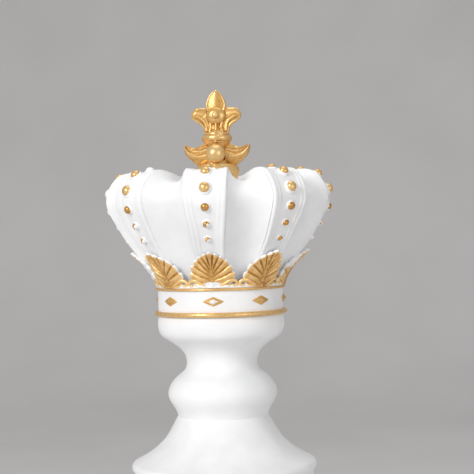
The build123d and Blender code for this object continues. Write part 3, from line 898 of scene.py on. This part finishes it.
def horns():
    """Two curled leaves on each side: a tall middle blade and a lower lipped leaf on each face."""
    blade = outline_of(
        (((9, 586.5), (15.3, 585.7), (18.5, 583.4), (23.6, 582.6), (28, 583.8), (32.8, 585.9)), 26),
        (((33.2, 584.5), (33.3, 581.2), (30.8, 575), (26.0, 569.6), (22.0, 566.2)), 24),
        (((20, 564.8), (8, 564.8)), 8))
    body = outline_of(
        (((8, 581.5), (11.5, 580.4), (16, 578.6), (23.6, 578.6), (29.4, 581.6), (32.2, 585.2)), 26),
        (((32.9, 583.8), (32.9, 581.0), (30.4, 575.2), (25.6, 570), (21.6, 566.6)), 22),
        (((19, 565), (8, 565)), 8))
    middle = cushion_part(blade, ((9, 577), (18, 577), (26, 579), (31.5, 583)), 3.2, 2.6)
    face = cushion_part(body, ((9, 574), (18, 573), (26, 575.5), (31.5, 581)), 4.6, 5.0)
    lip = ridge_part(((9, 580.4), (16, 578.4), (23.6, 578.4), (29.4, 581.4), (32.4, 585.0)),
                     5.6, 1.3, 1.35, 0.45)
    core = lathe_part([(BORE, 564.8), (13, 564.8), (12.2, 568), (9.6, 572), (9.0, 578), (10.2, 583),
                       (12.0, 586.8), (BORE, 586.8)], 64)
    return [middle, mirrored(middle), face, mirrored(face)] + four_ways(lip) + [core]


SKIN_SMOOTHING = 2
SKIN_REACH = 8


def fuse(piece, voxel):
    """Melts a piece's overlapping parts into one carved skin, all of it painted gold."""
    remesh = piece.modifiers.new("fuse", "REMESH")
    remesh.mode = "VOXEL"
    remesh.voxel_size = voxel * MM
    soften = piece.modifiers.new("soften", "SMOOTH")
    soften.factor = 0.5
    soften.iterations = SKIN_SMOOTHING
    depsgraph = bpy.context.evaluated_depsgraph_get()
    mesh = bpy.data.meshes.new_from_object(piece.evaluated_get(depsgraph))
    piece.modifiers.clear()
    mesh.name = piece.data.name
    for name in ("paint", "painted_shading"):
        if name not in mesh.attributes:
            mesh.attributes.new(name, "FLOAT", "POINT")
    mesh.attributes["paint"].data.foreach_set("value", np.ones(len(mesh.vertices), dtype=np.float32))
    # Painted shading of the skin: painted shade in its folds, painted highlight on its edges.
    mesh.attributes["painted_shading"].data.foreach_set("value", painted_shading_values(mesh, SKIN_REACH).astype(np.float32))
    mesh.polygons.foreach_set("use_smooth", [True] * len(mesh.polygons))
    piece.data = mesh


fuse(add_piece("finial_horn_leaves", horns(), gold, "finial", ["finial_horns"]), 0.45)

orb_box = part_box("finial_orbs")
orb_radius = (orb_box[1][0] - orb_box[0][0]) / 2 / MM
orb_reach = orb_box[1][1] / MM - orb_radius
orbs = both_faces(ball_part((0, -orb_reach, middle_of("finial_orbs")), orb_radius, rings=28, segments=48))
add_piece("finial_balls", orbs, gold, "finial", ["finial_orbs"])

collar_profile = [(BORE, 586.2), (11.8, 586.2), (12.6, 586.9), (12.9, 587.7)]
collar_profile += bead_profile(12.4, 591.4, 2.9, 3.5, 78, 15)
collar_profile += [(12.6, 595.3), (13.0, 596.0), (12.4, 596.9), (11, 597.2), (BORE, 597.2)]
add_piece("finial_ring", [lathe_part(collar_profile, 128, wavering(0.2, 9))], gold, "finial",
          ["finial_collar"], reach=3)


def fleur():
    """The two side leaves that curl out of a ribbed stalk, with lips along each, and a hood between them."""
    leaf = outline_of(
        (((4, 620.5), (10.5, 621.8), (17.5, 622.2), (22.4, 620.4), (24.9, 616), (24.6, 612.4)), 30),
        (((22.6, 610.9), (19.5, 609.2), (14.8, 606.6), (12.0, 602.2), (12.3, 597)), 26),
        (((11, 596.4), (4, 596.4)), 6))
    blade = cushion_part(leaf, ((6, 600), (8, 608), (12, 614), (20.5, 616.5)), 3.0, 2.6)
    lip = ridge_part(((9.8, 598.4), (10.0, 603), (11.6, 608), (16, 611.9), (22.6, 615.4)),
                     4.6, 1.3, 1.35, 0.7)
    fold = ridge_part(((12, 620.6), (17.6, 620.8), (21.6, 618.8), (23.6, 615.4)), 3.4, 0.8, 1.2, 0.9)
    under = ridge_part(((11.6, 598), (12.2, 602.4), (15.2, 606.4), (20, 609.6), (23.6, 612.4)),
                       2.6, 1.0, 1.3, 1.1)
    flute = ridge_part(((6.4, 597.6), (5.2, 603), (6.6, 609.5)), 6.0, 1.3, 1.4, 0.9)
    stalk = lathe_part([(0.5, 596.6), (10.2, 596.6), (7.6, 600), (6.4, 606), (6.2, 613), (0.5, 614)], 64)
    parts = [blade, mirrored(blade), stalk]
    for part in (lip, fold, under, flute):
        parts += four_ways(part)
    middle_rib = ridge_part(((0, 597.6), (0, 603), (0, 610.5)), 7.2, 1.1, 1.0, 1.0)
    hood = ball_part((0, -5.0, 613.8), 9.7, (1, 0.54, 0.92))
    return parts + both_faces(middle_rib) + both_faces(hood)


fuse(add_piece("finial_fleur_leaves", fleur(), gold, "finial", ["finial_fleur"]), 0.42)


def bud():
    """The pointed middle leaf, with a raised border round a gently swollen face."""
    edge = smooth_line(((3, 612), (7.8, 618), (9.9, 623.5), (9.2, 628), (7.0, 633), (3.4, 637.6),
                        (0.0, 639.9)), 44)
    outline = np.vstack([edge, (edge * np.array((-1, 1)))[::-1][1:]])
    face = cushion_part(outline, ((0, 614), (0, 636.5)), 3.4, 2.2)
    border = [(x * 0.9, -3.9, 624 + (z - 624) * 0.955) for x, z in edge[6:-1]]
    rim = tube_part(border, taper(len(border), 0.8, 1.0, 0.7))
    core = ball_part((0, 0, 621), 7.6, (1, 0.72, 1.25))
    return [face, core] + four_ways(rim)


fuse(add_piece("finial_spear", bud(), gold, "finial", ["finial_bud"]), 0.42)

BEAD_RADIUS = 3.5
SMALL_BEAD_RADIUS = 1.5
bead_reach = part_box("finial_beads")[1][1] / MM - BEAD_RADIUS
beads = both_faces(ball_part((0, -bead_reach, middle_of("finial_beads")), BEAD_RADIUS))
for place in ((0, -12.6, 597.4), (0, -13.4, 587.6)):
    beads += both_faces(ball_part(place, SMALL_BEAD_RADIUS))
add_piece("finial_bead_pair", beads, gold, "finial", ["finial_beads"])


# ---------------------------------------------------------------- floor, backdrop and light
def make_stage():
    """A pale floor that sweeps up into a pale backdrop behind the object, in metres."""
    front, depth, height, bend, width = -5.0, 3.4, 4.0, 1.2, 6.0
    profile = [(front, 0.0), (depth - bend, 0.0)]
    for step in range(1, 13):
        angle = math.pi / 2 * step / 12
        profile.append((depth - bend + bend * math.sin(angle), bend - bend * math.cos(angle)))
    profile.append((depth, height))
    vertices = [(x, y, z) for y, z in profile for x in (-width, width)]
    faces = [(2 * k, 2 * k + 1, 2 * k + 3, 2 * k + 2) for k in range(len(profile) - 1)]
    mesh = bpy.data.meshes.new("backdrop")
    mesh.from_pydata(vertices, [], faces)
    mesh.polygons.foreach_set("use_smooth", [True] * len(faces))
    material, nodes, links, shader = new_material("backdrop_paper")
    paper = noise_texture(nodes, links, 3, 2)
    colour = ramp(nodes, links, paper, ((0.3, (0.68, 0.665, 0.66)), (0.7, (0.72, 0.705, 0.70))))
    links.new(colour, shader.inputs["Base Color"])
    shader.inputs["Roughness"].default_value = 0.9
    mesh.materials.append(material)
    backdrop = bpy.data.objects.new("backdrop", mesh)
    bpy.context.scene.collection.objects.link(backdrop)


def area_light(name, place, aim_level, size, power):
    """A square soft light aimed at the axis; lengths in metres and power in watts."""
    data = bpy.data.lights.new(name, "AREA")
    data.shape = "RECTANGLE"
    data.size = data.size_y = size
    data.energy = power
    light = bpy.data.objects.new(name, data)
    light.location = place
    direction = Vector((0, 0, aim_level)) - Vector(place)
    light.rotation_euler = direction.to_track_quat("-Z", "Y").to_euler()
    bpy.context.scene.collection.objects.link(light)


make_stage()
area_light("key", (-1.0, -1.7, 1.25), 0.45, 0.8, 27)
area_light("fill", (1.5, -1.5, 0.7), 0.45, 1.2, 8)
area_light("top", (0.1, 0.2, 1.9), 0.5, 1.0, 5)

world = bpy.data.worlds.new("studio")
world.use_nodes = True
world.node_tree.nodes["Background"].inputs["Color"].default_value = (1, 1, 1, 1)
world.node_tree.nodes["Background"].inputs["Strength"].default_value = 0.5
bpy.context.scene.world = world
bpy.context.scene.view_settings.view_transform = "Standard"
